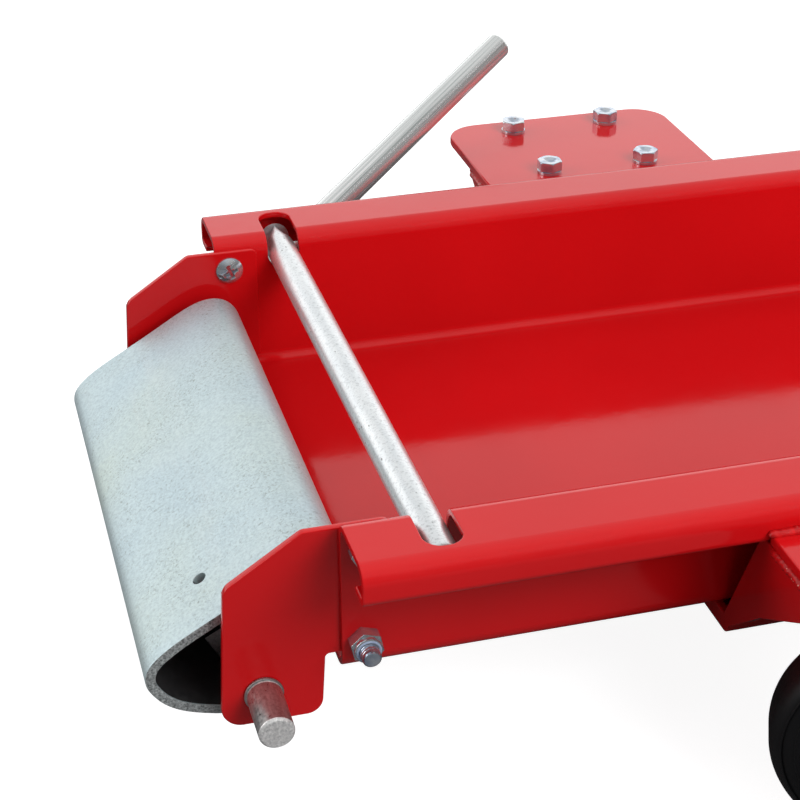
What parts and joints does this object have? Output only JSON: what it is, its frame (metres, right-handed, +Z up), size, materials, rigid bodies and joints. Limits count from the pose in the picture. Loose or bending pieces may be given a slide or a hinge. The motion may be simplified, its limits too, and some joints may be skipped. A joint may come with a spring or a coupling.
{
  "type": "wheel dolly",
  "caption": "Low wheel dolly with a folded steel tray on swivel casters, a lever-worked rocking ramp at one end, lift-out stop bars and a front wheel stop.",
  "frame": {"origin": "on the ground under the middle of the dolly's box", "axes": "+X along the tray from the ramp end to the front wheel stop, +Y towards the lever side, +Z up"},
  "size_m": [2.0786, 0.57, 0.1788],
  "materials": {
    "red_powder_coat": "gloss",
    "zinc_matt": "matt zinc plate",
    "zinc_bar": "satin zinc plate",
    "bright_rod": "bright drawn",
    "zinc_hardware": "bright zinc",
    "block_steel": "mill",
    "caster_steel": "satin black",
    "black_plastic": "moulded",
    "tyre_rubber": "satin"
  },
  "bodies": {
    "frame": {"caster_bolts": "zinc_hardware", "caster_kingpins": "caster_steel", "caster_lock_nuts": "zinc_hardware", "caster_top_plates": "caster_steel", "caster_washers": "zinc_hardware", "front_caster_mounts": "red_powder_coat", "front_outrigger_beam": "red_powder_coat", "front_wheel_stop": "red_powder_coat", "ramp_bracket_far": "red_powder_coat", "ramp_bracket_near": "red_powder_coat", "rear_caster_mounts": "red_powder_coat", "rear_outrigger_beam": "red_powder_coat", "tray_channel": "red_powder_coat", "wall_lock_nuts": "zinc_hardware", "wall_screws": "zinc_hardware"},
    "ramp": {"ramp_shell": "zinc_matt", "ramp_saddle_blocks": "block_steel", "ramp_set_screws": "zinc_hardware", "ramp_lever_rod": "bright_rod"},
    "rear_bar": {"rear_stop_bar": "zinc_bar"},
    "front_bar_a": {"front_stop_bar_a": "zinc_bar"},
    "front_bar_b": {"front_stop_bar_b": "zinc_bar"},
    "swivel_rear_near": {"caster_fork_rear_near": "caster_steel", "caster_axle_rear_near": "zinc_hardware"},
    "wheel_rear_near": {"caster_hub_rear_near": "black_plastic", "caster_tyre_rear_near": "tyre_rubber"},
    "swivel_rear_far": {"caster_fork_rear_far": "caster_steel", "caster_axle_rear_far": "zinc_hardware"},
    "wheel_rear_far": {"caster_hub_rear_far": "black_plastic", "caster_tyre_rear_far": "tyre_rubber"},
    "swivel_front_near": {"caster_fork_front_near": "caster_steel", "caster_axle_front_near": "zinc_hardware"},
    "wheel_front_near": {"caster_hub_front_near": "black_plastic", "caster_tyre_front_near": "tyre_rubber"},
    "swivel_front_far": {"caster_fork_front_far": "caster_steel", "caster_axle_front_far": "zinc_hardware"},
    "wheel_front_far": {"caster_hub_front_far": "black_plastic", "caster_tyre_front_far": "tyre_rubber"}
  },
  "joints": [
    {"name": "ramp_pivot", "type": "hinge", "parent": "frame", "child": "ramp", "pos_m": [-0.99319, 0, 0.0538], "axis": [0, 1, 0], "range_deg": [-26, 0]},
    {"name": "rear_bar_lift", "type": "slide", "parent": "frame", "child": "rear_bar", "axis": [0, 0, 1], "range_m": [0, 0.06]},
    {"name": "front_bar_a_lift", "type": "slide", "parent": "frame", "child": "front_bar_a", "axis": [0, 0, 1], "range_m": [0, 0.06]},
    {"name": "front_bar_b_lift", "type": "slide", "parent": "frame", "child": "front_bar_b", "axis": [0, 0, 1], "range_m": [0, 0.06]},
    {"name": "swivel_rear_near", "type": "hinge", "parent": "frame", "child": "swivel_rear_near", "pos_m": [-0.72669, -0.235, 0.1], "axis": [0, 0, 1], "continuous": true},
    {"name": "spin_rear_near", "type": "hinge", "parent": "swivel_rear_near", "child": "wheel_rear_near", "pos_m": [-0.75569, -0.22148, 0.05], "axis": [-0.4226, -0.9063, 0], "continuous": true},
    {"name": "swivel_rear_far", "type": "hinge", "parent": "frame", "child": "swivel_rear_far", "pos_m": [-0.72669, 0.235, 0.1], "axis": [0, 0, 1], "continuous": true},
    {"name": "spin_rear_far", "type": "hinge", "parent": "swivel_rear_far", "child": "wheel_rear_far", "pos_m": [-0.75837, 0.23945, 0.05], "axis": [-0.1392, -0.9903, 0], "continuous": true},
    {"name": "swivel_front_near", "type": "hinge", "parent": "frame", "child": "swivel_front_near", "pos_m": [0.73931, -0.235, 0.1], "axis": [0, 0, 1], "continuous": true},
    {"name": "spin_front_near", "type": "hinge", "parent": "swivel_front_near", "child": "wheel_front_near", "pos_m": [0.70871, -0.22564, 0.05], "axis": [-0.2924, -0.9563, 0], "continuous": true},
    {"name": "swivel_front_far", "type": "hinge", "parent": "frame", "child": "swivel_front_far", "pos_m": [0.73931, 0.235, 0.1], "axis": [0, 0, 1], "continuous": true},
    {"name": "spin_front_far", "type": "hinge", "parent": "swivel_front_far", "child": "wheel_front_far", "pos_m": [0.70749, 0.23165, 0.05], "axis": [0.1045, -0.9945, 0], "continuous": true}
  ]
}
